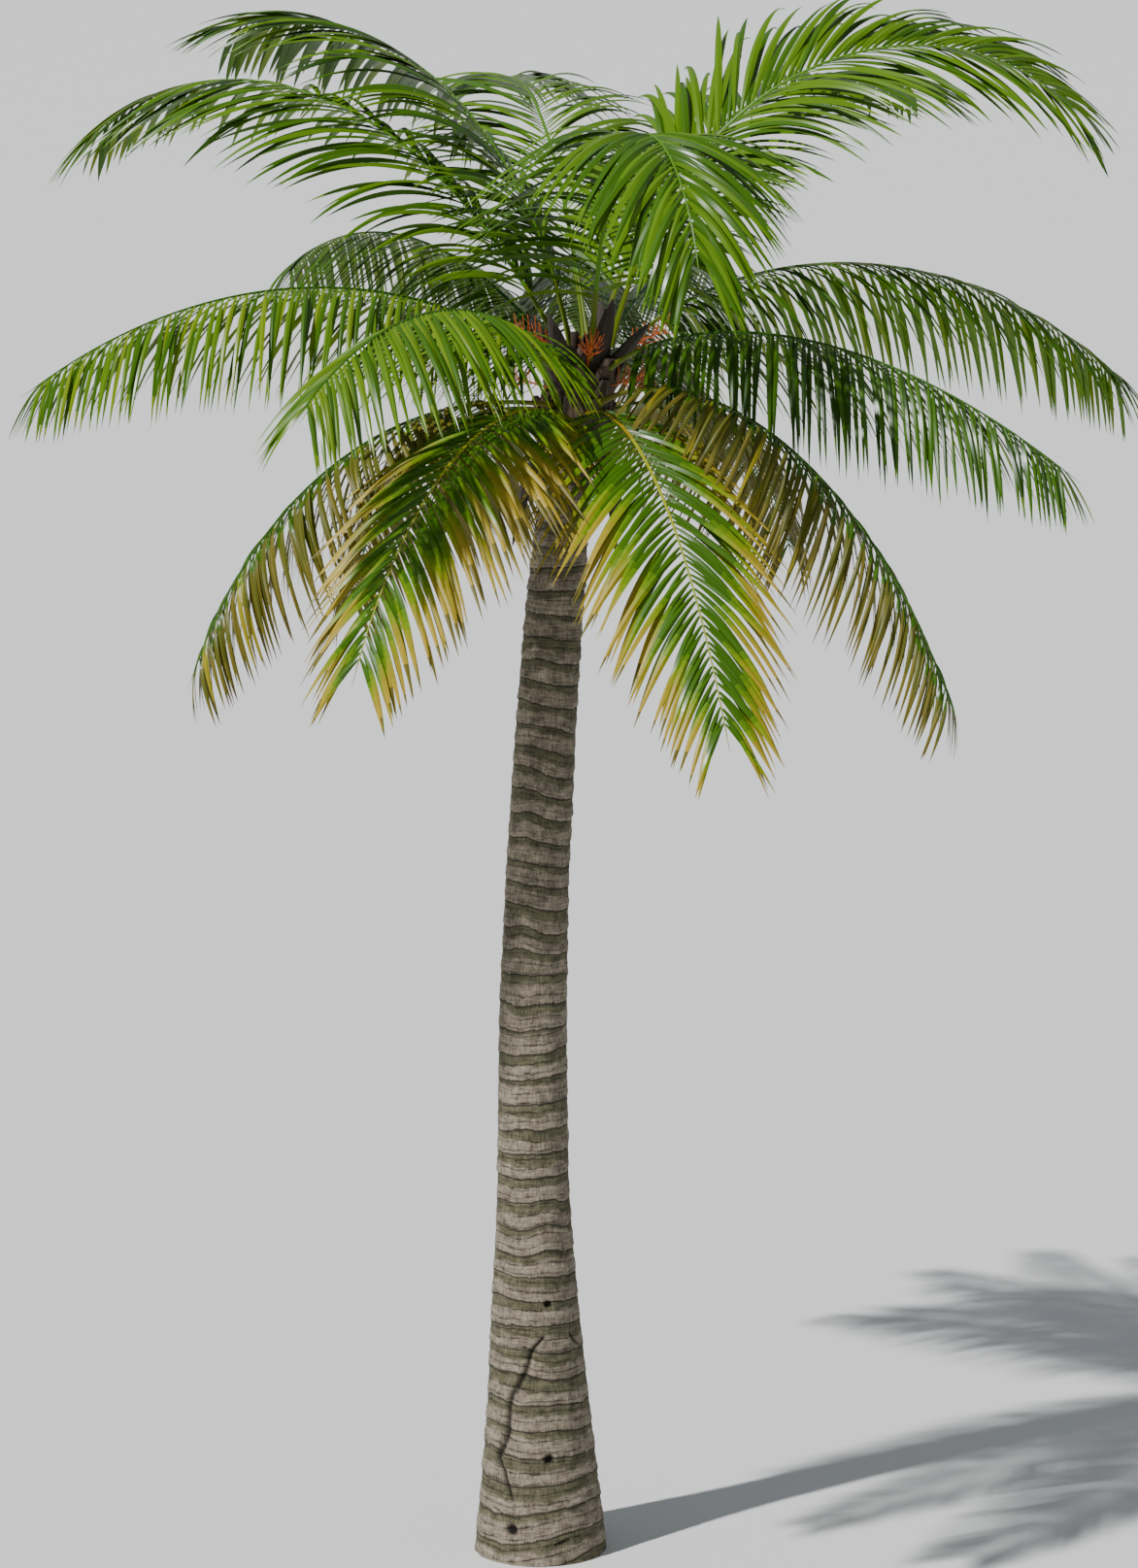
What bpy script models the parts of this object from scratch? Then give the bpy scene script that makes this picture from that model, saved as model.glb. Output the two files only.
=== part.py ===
"""A coconut palm at its real size, in metres, +Z up.

The origin is the middle of the flat cut where the trunk meets the ground. The tree's front
faces -Y, and its trunk leans towards +X.
"""

import math
from collections import namedtuple

import bmesh
import bpy
from mathutils import Matrix, Vector
from mathutils.bvhtree import BVHTree

UP = Vector((0.0, 0.0, 1.0))

# Clearance between neighbouring pieces
GAP = 0.0003

# Trunk
TRUNK_HEIGHT = 5.62
TRUNK_LEAN = 0.14  # the top stands this far to the right of the foot
TRUNK_BOW = 0.052  # the middle sags this far to the left
BUTT_RADIUS = 0.2025  # the plain taper at the ground, without the root flare
TOP_RADIUS = 0.130  # the plain taper at the top, without the neck
FLARE = 0.131
FLARE_HEIGHT = 1.95
FLARE_POWER = 1.4
NECK = 0.028
NECK_HEIGHT = 4.9
TRUNK_SIDES = 20
TRUNK_RINGS = 25

# Crown heart, the knot of old leaf bases on the trunk's top
HEART_LEAN = 0.22
HEART_SIDES = 14
HEART_PROFILE = (  # height above the trunk, radius
    (0.00, 0.105),
    (0.05, 0.148),
    (0.14, 0.182),
    (0.26, 0.168),
    (0.38, 0.138),
    (0.48, 0.105),
    (0.56, 0.055),
)

# Everything that grows from the heart starts inside it, this far from its axis
SOCKET_RADIUS = 0.10
COURSE_STEPS = 120
HALVINGS = 20  # of the search for where a limb leaves the heart

# Rib of a frond: a three-sided bar, flat on top, with a keel below
RIB_WIDTH = 0.038
RIB_TIP_WIDTH = 0.010
SHEATH_WIDTH = 0.030  # extra width where the leaf stalk leaves the heart
SHEATH_LENGTH = 0.05  # as a share of the rib
RIB_DEPTH = 0.8  # as a share of the width
RIB_RISE = 0.4  # how much of the depth lies above the rib's course

# Leaflets: each stands for three or four of the real ones
LEAFLET_PAIRS = 14
LONGEST_AT = 0.45  # share of the rib where the leaflets are longest
SHORTER_AT_STALK = 0.55  # how much shorter they are at the stalk and at the tip
SHORTER_AT_TIP = 0.54
LEAFLET_FILL = 0.56  # how much of the way to the next leaflet one fills
LEAFLET_THICKNESS = 0.010
SWEEP_AT_ROOT = 68.0  # degrees between rib and leaflet
SWEEP_AT_TIP = 34.0
LEAFLET_STEPS = 10
ROOT_STEP = 1  # up to here a leaflet lies beside its own rib
ROOT_WIDTH = 0.6  # its width there, as a share of the full width
LEAFLET_SECTIONS = ((3, 1.0), (7, 0.72))  # step along the leaflet, share of its full width
END_LENGTH = 0.15  # the rib's bare point, past the last leaflets
CLEARANCE = 0.003  # kept between a leaflet and everything else

# A leaflet that would touch something is turned up or down, or cut short, in this order
TRIES = (  # turn in degrees, share of the length
    (0, 1.0),
    (12, 1.0),
    (-12, 1.0),
    (22, 0.85),
    (-22, 0.85),
    (0, 0.7),
    (15, 0.6),
    (-15, 0.6),
    (0, 0.45),
)

# bare: the share of the rib before its first leaflets. The rest is how the leaflets are held:
# degrees they turn forward along the rib, lift above the rib's plane in degrees, how far they
# sag, how far they curl back towards the trunk, and the length of the longest.
Age = namedtuple("Age", "bare forward lift sag curl length")
YOUNG = Age(0.11, 18, 15, 0.9, 0.0, 0.93)
OPENING = Age(0.11, 0, 6, 1.2, 0.0, 0.96)
ARCHING = Age(0.11, 16, -4, 0.9, 0.0, 0.90)
FULL = Age(0.11, 0, -20, 1.8, 0.0, 0.75)
SPREADING = Age(0.11, 0, -22, 0.9, 0.0, 0.82)
AGEING = Age(0.14, 0, -4, 1.0, 0.0, 0.84)
OLD = Age(0.17, 18, -2, 1.7, 1.2, 0.76)

# root: height where it leaves the heart. bearing: heading in degrees from +X towards +Y.
# launch: climb at the root. fall: how far the climb has dropped at the tip. power: above 1 it
# bends late, below 1 early. turn: how far the bearing swings by the tip. roll: raises the
# left-hand side, seen from the trunk.
Limb = namedtuple("Limb", "name root bearing launch fall power turn length roll")
FRONDS = (
    (OPENING, Limb("frond_upper_front", 6.05, -81, 70, 133, 1.4, 6, 2.92, 0)),
    (YOUNG, Limb("frond_upper_right", 6.10, 15, 74, 117, 1.4, -7, 3.15, 25)),
    (ARCHING, Limb("frond_upper_left", 6.04, 160, 59, 97, 1.6, -6, 3.20, -4)),
    (ARCHING, Limb("frond_upper_left_back", 6.06, 136, 73, 86, 1.3, 12, 2.94, 22)),
    (YOUNG, Limb("frond_upper_back", 6.10, 99, 49, 58, 1.4, 2, 3.00, 0)),
    (YOUNG, Limb("frond_upper_right_back", 6.04, 53, 77, 91, 0.8, -7, 3.10, 0)),
    (SPREADING, Limb("frond_middle_front_left", 5.93, -114, 32, 63, 1.1, -3, 2.92, 0)),
    (FULL, Limb("frond_middle_front_right", 5.95, -41, 48, 81, 0.5, 9, 2.81, 0)),
    (FULL, Limb("frond_middle_left", 5.95, -146, 39, 70, 0.9, -2, 3.05, 0)),
    (FULL, Limb("frond_middle_right", 5.98, 14, 56, 99, 0.7, 0, 2.99, -24)),
    (FULL, Limb("frond_middle_left_back", 5.97, 122, 30, 58, 1.5, 1, 2.99, 0)),
    (FULL, Limb("frond_middle_right_back", 5.92, 75, 24, 35, 1.1, 2, 3.00, 0)),
    (FULL, Limb("frond_middle_back_left", 5.88, 110, 23, 32, 1.3, -7, 3.00, 0)),
    (FULL, Limb("frond_middle_back", 6.00, 92, 32, 66, 1.1, 0, 3.00, 0)),
    (AGEING, Limb("frond_lower_front_right", 5.76, -77, 20, 72, 0.7, 1, 3.15, 0)),
    (AGEING, Limb("frond_lower_front_left", 5.76, -107, 14, 72, 1.2, -9, 2.95, 0)),
    (OLD, Limb("frond_lower_right", 5.80, -51, 32, 91, 0.65, -2, 3.12, -28)),
    (OLD, Limb("frond_lower_left", 5.82, -131, 9, 71, 1.3, -1, 2.90, 28)),
    (OLD, Limb("frond_lower_right_back", 5.72, 62, 8, 66, 1.4, 4, 2.85, 0)),
    (OLD, Limb("frond_lower_left_back", 5.77, 119, 1, 62, 1.3, -3, 2.90, 0)),
    (OLD, Limb("frond_lower_back_left", 5.70, 101, 3, 42, 1.2, 4, 3.00, 0)),
    (OLD, Limb("frond_lower_back_right", 5.80, 78, 20, 60, 1.1, 0, 3.00, 0)),
)

# Woody spathes between the leaf stalks, and dry ones that hang beside the trunk
SPATHE_RADIUS = 0.026
SPATHE_SIDES = 8
SPATHE_PROFILE = ((0.0, 0.55), (0.35, 1.0), (0.7, 0.7))  # share of the length, of the radius
SPATHE_ROOT = 0.6  # its cut end lies within this share of its length
SPATHES = (
    Limb("spathe_front_left", 5.98, -133, 62, 0, 1.0, 0, 0.34, 0),
    Limb("spathe_front", 6.00, -56, 74, 10, 1.0, 0, 0.38, 0),
    Limb("spathe_right", 5.99, -22, 50, 10, 1.0, 0, 0.34, 0),
    Limb("spathe_left", 6.00, -178, 60, 10, 1.0, 0, 0.34, 0),
    Limb("spathe_back", 6.02, 74, 60, 0, 1.0, 0, 0.34, 0),
    Limb("dry_spathe_left", 5.70, -172, -40, 44, 0.4, 0, 0.62, 0),
    Limb("dry_spathe_right", 5.71, -12, -44, 50, 0.4, 0, 0.66, 0),
    Limb("dry_spathe_front_right", 5.69, -36, -22, 66, 0.5, 0, 0.48, 0),
)

# Flower spikes: a stalk with thin branches on its three sides
STALK_WIDTH = 0.016
STALK_TIP_WIDTH = 0.008
BRANCH_WHORLS = 8
FIRST_BRANCH = 0.35
BRANCH_LENGTH = 0.11
BRANCH_SWEEP = 48.0
BRANCH_SHORTENING = 0.4  # how much shorter the last branches are
BRANCH_DROOP = 0.5  # how far the two lower branches point down
BRANCH_ROOT = 0.4  # how much of the way to the next whorl a branch's root fills
SPIKES = (
    Limb("flower_spike_left", 6.03, -163, 48, 30, 1.0, 0, 0.32, 0),
    Limb("flower_spike_centre", 5.99, -84, 58, 40, 1.0, 0, 0.24, 0),
    Limb("flower_spike_right", 6.02, -5, 40, 20, 1.0, 0, 0.34, 0),
    Limb("flower_spike_low_right", 5.90, -26, 18, 10, 1.0, 0, 0.26, 0),
    Limb("flower_spike_low_left", 5.88, -166, 22, 10, 1.0, 0, 0.30, 0),
)


# Shared helpers
def material(name, colour, roughness):
    """A plain surface from an sRGB hex colour."""
    channels = [int(colour[i : i + 2], 16) / 255 for i in (0, 2, 4)]
    linear = [c / 12.92 if c <= 0.04045 else ((c + 0.055) / 1.055) ** 2.4 for c in channels]
    made = bpy.data.materials.new(name)
    made.use_nodes = True
    shader = made.node_tree.nodes["Principled BSDF"]
    shader.inputs["Base Color"].default_value = (*linear, 1.0)
    shader.inputs["Roughness"].default_value = roughness
    shader.inputs["Metallic"].default_value = 0.0
    return made


def add_piece(name, points, faces, surface):
    """One closed mesh, its faces turned outwards and its round sides shaded smooth."""
    mesh = bpy.data.meshes.new(name)
    mesh.from_pydata(points, [], faces)
    work = bmesh.new()
    work.from_mesh(mesh)
    bmesh.ops.recalc_face_normals(work, faces=work.faces)
    work.to_mesh(mesh)
    work.free()
    mesh.shade_smooth()
    mesh.set_sharp_from_angle(angle=math.radians(35))
    mesh.materials.append(surface)
    piece = bpy.data.objects.new(name, mesh)
    bpy.context.scene.collection.objects.link(piece)


def ring(centre, radius, sides, across=Vector((1.0, 0.0, 0.0)), other=Vector((0.0, 1.0, 0.0))):
    """Points round a circle in the plane of two directions, level by default."""
    angles = [2 * math.pi * i / sides for i in range(sides)]
    return [centre + radius * (across * math.cos(a) + other * math.sin(a)) for a in angles]


def band(low, high, sides):
    """Faces between two rings of points, given where each ring starts."""
    pairs = [(i, (i + 1) % sides) for i in range(sides)]
    return [[low + i, low + j, high + j, high + i] for i, j in pairs]


def loft(rings, tip=None):
    """Points and faces of a closed solid through rings of equal size, pointed if it has a tip."""
    sides = len(rings[0])
    points = [p for one in rings for p in one]
    faces = [list(reversed(range(sides)))]
    for row in range(len(rings) - 1):
        faces += band(row * sides, (row + 1) * sides, sides)
    last = (len(rings) - 1) * sides
    if tip is None:
        faces.append([last + i for i in range(sides)])
    else:
        points.append(tip)
        faces += [[last + i, last + (i + 1) % sides, len(points) - 1] for i in range(sides)]
    return points, faces


def search_tree(points, faces):
    """A solid's surface with its box, for finding what touches what."""
    low = [min(p[k] for p in points) for k in range(3)]
    high = [max(p[k] for p in points) for k in range(3)]
    return low, high, BVHTree.FromPolygons(points, faces)


def touches(one, other):
    low, high, surface = one
    other_low, other_high, other_surface = other
    if any(low[k] > other_high[k] or other_low[k] > high[k] for k in range(3)):
        return False
    return bool(surface.overlap(other_surface))


# Trunk
def trunk_centre(height):
    share = height / TRUNK_HEIGHT
    bow = TRUNK_BOW * max(0.0, math.sin(math.pi * share)) ** 1.5
    return Vector((TRUNK_LEAN * share**3 - bow, 0.0, height))


def trunk_radius(height):
    taper = BUTT_RADIUS + (TOP_RADIUS - BUTT_RADIUS) * height / TRUNK_HEIGHT
    flare = FLARE * max(0.0, 1 - height / FLARE_HEIGHT) ** FLARE_POWER
    above = max(0.0, height - NECK_HEIGHT) / (TRUNK_HEIGHT - NECK_HEIGHT)
    return taper + flare - NECK * above**1.5


def add_trunk(bark):
    heights = [TRUNK_HEIGHT * i / (TRUNK_RINGS - 1) for i in range(TRUNK_RINGS)]
    rings = [ring(trunk_centre(z), trunk_radius(z), TRUNK_SIDES) for z in heights]
    solid = loft(rings)
    add_piece("trunk", *solid, bark)
    return search_tree(*solid)


# Crown heart
def heart_centre(height):
    top = trunk_centre(TRUNK_HEIGHT)
    return Vector((top.x + HEART_LEAN * (height - TRUNK_HEIGHT), 0.0, height))


def add_heart(fibre):
    foot = TRUNK_HEIGHT + GAP
    rings = [ring(heart_centre(foot + rise), radius, HEART_SIDES) for rise, radius in HEART_PROFILE]
    solid = loft(rings)
    add_piece("crown_heart", *solid, fibre)
    return search_tree(*solid)


# Curves of everything that grows from the heart
def heading(bearing, climb):
    """The unit direction for a bearing and a climb in degrees."""
    flat = Vector((math.cos(math.radians(bearing)), math.sin(math.radians(bearing)), 0.0))
    return flat * math.cos(math.radians(climb)) + UP * math.sin(math.radians(climb))


def course_of(limb):
    """Points along a limb, each with its forward, left and upward directions."""
    point = heart_centre(limb.root) + SOCKET_RADIUS * heading(limb.bearing, 0)
    course = []
    for i in range(COURSE_STEPS + 1):
        share = i / COURSE_STEPS
        bearing = limb.bearing + limb.turn * share
        forward = heading(bearing, limb.launch - limb.fall * share**limb.power)
        left = heading(bearing + 90, 0)
        left.rotate(Matrix.Rotation(math.radians(limb.roll), 3, forward))
        course.append((point.copy(), forward, left, forward.cross(left)))
        point += forward * limb.length / COURSE_STEPS
    return course


def at_share(course, share):
    """The point and directions at this share of a course."""
    place = min(max(share, 0.0), 1.0) * COURSE_STEPS
    index = min(int(place), COURSE_STEPS - 1)
    point = course[index][0].lerp(course[index + 1][0], place - index)
    return point, *course[index][1:]


def bar_section(course, share, width):
    """Left edge, right edge and keel of a three-sided bar."""
    point, _, left, upward = at_share(course, share)
    depth = width * RIB_DEPTH
    top = point + upward * depth * RIB_RISE
    return [top + left * width / 2, top - left * width / 2, top - upward * depth]


def stands_clear(heart, section, behind):
    """True if a section, and the one a gap behind it, lie outside the heart."""
    for a, b in zip(section, section[1:] + section[:1]):
        for spot in (a, a.lerp(b, 0.5)):
            nearest, normal, _, distance = heart[2].find_nearest(spot)
            if (spot - nearest).dot(normal) < 0 or distance < GAP:
                return False
    return not touches(search_tree(*loft([behind, section])), heart)


def start_of(heart, limb, section_at, last):
    """The share of a limb where its cut end stands just clear of the heart."""
    inside, outside = 0.0, last
    for _ in range(HALVINGS):
        middle = (inside + outside) / 2
        if stands_clear(heart, section_at(middle), section_at(middle - GAP / limb.length)):
            outside = middle
        else:
            inside = middle
    return outside


def shoot_faces(root, sections, tip):
    """Faces of a shoot from the four corners of its root, by way of three-sided sections.

    The root's corners run from its upper back corner over the upper front and lower front to
    the lower back one. A section is a ridge, a front edge and a back edge, by point number.
    """
    a, b, c, d = root
    if not sections:
        return [[a, b, tip], [b, c, tip], [c, d, tip], [d, a, tip]]
    ridge, front, back = sections[0]
    faces = [[a, b, ridge], [b, front, ridge], [b, c, front]]
    faces += [[c, d, back, front], [d, a, back], [a, ridge, back]]
    for one, other in zip(sections, sections[1:]):
        for i in range(3):
            j = (i + 1) % 3
            faces.append([one[i], one[j], other[j], other[i]])
    ridge, front, back = sections[-1]
    return faces + [[ridge, front, tip], [front, back, tip], [back, ridge, tip]]


# Fronds
def rib_width(share):
    plain = RIB_TIP_WIDTH + (RIB_WIDTH - RIB_TIP_WIDTH) * (1 - share)
    return plain + SHEATH_WIDTH * math.exp(-share / SHEATH_LENGTH)


def leaflet_reach(share):
    """Short by the stalk, longest near the middle, and short again at the tip."""
    if share < LONGEST_AT:
        return 1 - SHORTER_AT_STALK * ((LONGEST_AT - share) / LONGEST_AT) ** 2
    return 1 - SHORTER_AT_TIP * ((share - LONGEST_AT) / (1 - LONGEST_AT)) ** 2


def leaflet_sections(limb, age, course, share, hand, turn, reach, wider=0.0):
    """Roof-shaped sections along a leaflet by step, and its tip. hand is 1 left, -1 right."""
    spot, forward, left, upward = at_share(course, share)
    sweep = SWEEP_AT_ROOT + (SWEEP_AT_TIP - SWEEP_AT_ROOT) * share
    sweep = math.radians(sweep - age.forward * (1 - share))
    lift = math.radians(age.lift + turn)
    outward = left * hand * math.cos(lift) + upward * math.sin(lift)
    start = forward * math.cos(sweep) + outward * math.sin(sweep)
    pull = UP * age.sag + heading(limb.bearing, 0) * age.curl
    pitch = limb.length * (1 - age.bare) / LEAFLET_PAIRS
    full_width = LEAFLET_FILL * pitch * math.sin(sweep)
    widths = {ROOT_STEP: ROOT_WIDTH, **dict(LEAFLET_SECTIONS)}
    sections = {}
    for step in range(1, LEAFLET_STEPS + 1):
        now = (start - pull * (step - 0.5) / LEAFLET_STEPS).normalized()
        spot = spot + now * age.length * leaflet_reach(share) * reach / LEAFLET_STEPS
        if step in widths:
            across = (forward - now * forward.dot(now)).normalized()
            face = across.cross(now) * hand * (LEAFLET_THICKNESS / 2 + wider)
            half = across * (full_width * widths[step] / 2 + wider)
            sections[step] = [spot + face, spot - face + half, spot - face - half]
    return sections, spot


class Frond:
    """A rib with its leaflets. The rib is laid out first, so that all ribs come before leaflets."""

    def __init__(self, age, limb, heart):
        self.age, self.limb, self.course = age, limb, course_of(limb)
        pitch = (1 - age.bare) / LEAFLET_PAIRS
        start = start_of(heart, limb, self.section, age.bare)
        self.leafy = [age.bare + pitch * i for i in range(LEAFLET_PAIRS)]
        self.shares = [start, (start + age.bare) / 2]
        for share in self.leafy:
            self.shares += [share, share + pitch / 2]
        self.rib = [self.section(share) for share in self.shares]
        end, forward, _, _ = at_share(self.course, 1.0)
        self.tip = end + forward * END_LENGTH
        self.surface = search_tree(*loft(self.rib, self.tip))

    def section(self, share):
        return bar_section(self.course, share, rib_width(share))

    def fitted_leaflet(self, share, hand, root, others, own):
        """A leaflet on the root's corners that touches nothing, or None if no try fits."""
        for turn, reach in TRIES:
            grown = leaflet_sections(self.limb, self.age, self.course, share, hand, turn, reach)
            wide, tip = leaflet_sections(
                self.limb, self.age, self.course, share, hand, turn, reach, CLEARANCE
            )
            outer = search_tree(*loft(list(wide.values()), tip))
            first, second = [wide[step] for step, _ in LEAFLET_SECTIONS]
            faces = shoot_faces([0, 1, 2, 3], [[4, 5, 6], [7, 8, 9]], 10)
            whole = search_tree([*root, *first, *second, tip], faces)
            if any(touches(outer, other) for other in own):
                continue
            if any(touches(whole, other) for other in others):
                continue
            own.append(outer)
            return grown, whole
        return None

    def add(self, green, solids):
        """Make the frond. Its leaflets join the solids that later ones stay clear of."""
        points, faces = loft(self.rib, self.tip)
        pitch = (1 - self.age.bare) / LEAFLET_PAIRS
        first_leafy = len(self.shares) - 2 * LEAFLET_PAIRS
        others = [solid for solid in solids if solid is not self.surface]
        own = [self.surface]
        for pair, share in enumerate(self.leafy):
            left = 3 * (first_leafy + 2 * pair)
            right, keel = left + 1, left + 2
            sides = ((1, [left, left + 3, keel + 3, keel]), (-1, [right, right + 3, keel + 3, keel]))
            for hand, root in sides:
                corners = [points[number] for number in root]
                fitted = self.fitted_leaflet(share + pitch / 4, hand, corners, others, own)
                if fitted:
                    (sections, tip), whole = fitted
                    numbers = []
                    for step, _ in LEAFLET_SECTIONS:
                        numbers.append([len(points), len(points) + 1, len(points) + 2])
                        points += sections[step]
                    points.append(tip)
                    faces = [face for face in faces if set(face) != set(root)]
                    faces += shoot_faces(root, numbers, len(points) - 1)
                    solids.append(whole)
        add_piece(self.limb.name, points, faces, green)


# Spathes
def add_spathe(limb, heart, husk):
    """A pointed husk, round in section."""
    course = course_of(limb)

    def section_at(share, wide=SPATHE_PROFILE[0][1]):
        point, _, left, upward = at_share(course, share)
        return ring(point, SPATHE_RADIUS * wide, SPATHE_SIDES, left, upward)

    start = start_of(heart, limb, section_at, SPATHE_ROOT)
    rings = [section_at(start + (1 - start) * share, wide) for share, wide in SPATHE_PROFILE]
    solid = loft(rings, at_share(course, 1.0)[0])
    add_piece(limb.name, *solid, husk)
    return search_tree(*solid)


# Flower spikes
def add_spike(limb, heart, blossom, others):
    """A stalk whose whorls of thin branches point outwards and forwards."""
    course = course_of(limb)

    def section_at(share):
        return bar_section(course, share, STALK_WIDTH + (STALK_TIP_WIDTH - STALK_WIDTH) * share)

    pitch = (1 - FIRST_BRANCH) / BRANCH_WHORLS
    whorls = [FIRST_BRANCH + pitch * i for i in range(BRANCH_WHORLS)]
    shares = [start_of(heart, limb, section_at, FIRST_BRANCH)]
    for share in whorls:
        shares += [share, share + pitch * BRANCH_ROOT]
    end, forward, _, _ = at_share(course, 1.0)
    points, faces = loft([section_at(share) for share in shares], end + forward * BRANCH_LENGTH)
    for whorl, share in enumerate(whorls):
        spot, forward, left, upward = at_share(course, share + pitch * BRANCH_ROOT / 2)
        low = 3 * (1 + 2 * whorl)
        sides = (
            (upward, [low, low + 3, low + 4, low + 1]),
            (left - upward * BRANCH_DROOP, [low, low + 3, low + 5, low + 2]),
            (-left - upward * BRANCH_DROOP, [low + 1, low + 4, low + 5, low + 2]),
        )
        for outward, root in sides:
            sweep = math.radians(BRANCH_SWEEP)
            way = forward * math.cos(sweep) + outward.normalized() * math.sin(sweep)
            tip = spot + way * BRANCH_LENGTH * (1 - BRANCH_SHORTENING * share)
            corners = [points[number] for number in root]
            tried = search_tree([*corners, tip], shoot_faces([0, 1, 2, 3], [], 4))
            if not any(touches(tried, other) for other in others):
                points.append(tip)
                faces = [face for face in faces if set(face) != set(root)]
                faces += shoot_faces(root, [], len(points) - 1)
    add_piece(limb.name, points, faces, blossom)
    others.append(search_tree(points, faces))


def build():
    for old in list(bpy.data.objects):
        bpy.data.objects.remove(old, do_unlink=True)

    bark = material("bark", "8A7C68", 0.9)
    fibre = material("leaf base fibre", "3A2E25", 0.95)
    husk = material("dry husk", "2F2823", 0.85)
    blossom = material("blossom", "A8552A", 0.7)
    greens = {
        YOUNG: material("young leaf", "4F8A1C", 0.5),
        OPENING: material("opening leaf", "4F8A1C", 0.5),
        ARCHING: material("arching leaf", "4A8020", 0.5),
        FULL: material("full leaf", "3C6B1B", 0.5),
        SPREADING: material("spreading leaf", "3C6B1B", 0.5),
        AGEING: material("yellowing leaf", "7C8A2A", 0.55),
        OLD: material("old leaf", "8C7F33", 0.6),
    }

    solids = [add_trunk(bark)]
    heart = add_heart(fibre)
    solids.append(heart)
    solids += [add_spathe(limb, heart, husk) for limb in SPATHES]
    fronds = [Frond(age, limb, heart) for age, limb in FRONDS]
    solids += [frond.surface for frond in fronds]
    for limb in SPIKES:
        add_spike(limb, heart, blossom, solids)
    for frond in fronds:
        frond.add(greens[frond.age], solids)


build()
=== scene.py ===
"""A coconut palm in full dress: bark, crown heart, fronds with all their leaflets, spathes and
flower spikes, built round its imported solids."""

import math
from collections import namedtuple

import bmesh
import bpy
import numpy as np
from mathutils import Matrix, Vector, noise


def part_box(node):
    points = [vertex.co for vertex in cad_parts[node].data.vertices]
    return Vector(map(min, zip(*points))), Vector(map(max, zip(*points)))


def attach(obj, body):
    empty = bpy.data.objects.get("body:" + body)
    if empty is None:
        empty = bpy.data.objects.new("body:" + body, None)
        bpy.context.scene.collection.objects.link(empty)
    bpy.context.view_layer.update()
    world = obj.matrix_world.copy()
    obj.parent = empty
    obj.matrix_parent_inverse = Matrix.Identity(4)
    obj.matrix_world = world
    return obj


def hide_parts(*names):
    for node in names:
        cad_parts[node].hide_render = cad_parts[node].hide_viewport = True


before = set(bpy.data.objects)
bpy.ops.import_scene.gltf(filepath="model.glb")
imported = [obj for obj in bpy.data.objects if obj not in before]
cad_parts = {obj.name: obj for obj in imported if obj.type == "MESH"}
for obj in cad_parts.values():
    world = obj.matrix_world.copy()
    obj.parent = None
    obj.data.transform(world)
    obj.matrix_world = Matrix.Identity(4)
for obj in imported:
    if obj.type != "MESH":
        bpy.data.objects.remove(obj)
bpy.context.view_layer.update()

# Trunk. One fibrous stem that grew ring by ring. Every fallen leaf left a pale, finely split
# scar round it, and olive green bark stretched between the scars as the stem grew.
TRUNK_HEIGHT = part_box("trunk")[1].z
TRUNK_LEAN = 0.14
TRUNK_BOW = 0.052
BUTT_RADIUS = 0.2025
TOP_RADIUS = 0.130
FLARE = 0.131
FLARE_HEIGHT = 1.95
NECK = 0.028
NECK_HEIGHT = 4.9
TRUNK_SIDES = 150
FRONT_CROWDING = 0.5  # the trunk's vertices stand closer together on its front
FIRST_CUTS = 25
SECOND_CUTS = 24
RING_SPACING = 0.137  # between two leaf scars at the foot
RING_CLOSING = 0.0055  # how much closer they stand for every metre up
SCAR_SHARE = 0.58  # how much of the way to the next ring a scar covers
SCAR_RELIEF = 0.0055
RIDGES = 2.6  # fine ridges between two leaf scars
CRACK_DEPTH = 0.016
LONG_CRACK = (  # across from the middle of the trunk's front and height, in metres
    (0.012, 1.156), (-0.042, 1.093), (-0.061, 1.018), (-0.086, 0.953), (-0.140, 0.863),
    (-0.159, 0.791), (-0.159, 0.673), (-0.184, 0.589), (-0.214, 0.527), (-0.179, 0.458),
    (-0.160, 0.388), (-0.140, 0.323),
)
CRACKS = (  # points, half width
    (LONG_CRACK, 0.024),
    (((-0.095, 1.114), (-0.042, 1.093)), 0.007),
    (((-0.086, 0.953), (-0.120, 0.861)), 0.007),
    (((0.143, 1.162), (0.182, 1.094)), 0.007),
    (((-0.234, 0.271), (-0.194, 0.249)), 0.007),
    (((0.075, 0.104), (0.143, 0.131)), 0.010),
)
KNOT_HOLES = (  # across, height, radius
    (0.036, 1.326, 0.022),
    (0.041, 0.542, 0.030),
    (-0.145, 0.175, 0.036),
)


def linear(colour):
    """An sRGB hex colour in linear light."""
    channels = [int(colour[i : i + 2], 16) / 255 for i in (0, 2, 4)]
    return tuple(c / 12.92 if c <= 0.04045 else ((c + 0.055) / 1.055) ** 2.4 for c in channels)


def new_surface(name, colour, roughness, **settings):
    """A Principled surface from an sRGB hex colour. Settings go to its sockets."""
    surface = bpy.data.materials.new(name)
    surface.use_nodes = True
    shader = surface.node_tree.nodes["Principled BSDF"]
    shader.inputs["Base Color"].default_value = (*linear(colour), 1.0)
    shader.inputs["Roughness"].default_value = roughness
    for socket, value in settings.items():
        shader.inputs[socket.replace("_", " ")].default_value = value
    return surface


def add_node(surface, kind, settings, links):
    """A node of a material, with its settings and with what is linked to its inputs."""
    made = surface.node_tree.nodes.new("ShaderNode" + kind)
    for name, value in settings.items():
        if isinstance(name, str) and hasattr(made, name):
            setattr(made, name, value)
        else:
            made.inputs[name].default_value = value
    for name, source in links.items():
        surface.node_tree.links.new(source, made.inputs[name])
    return made


def select_only(piece):
    bpy.ops.object.select_all(action="DESELECT")
    piece.select_set(True)
    bpy.context.view_layer.objects.active = piece


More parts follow.
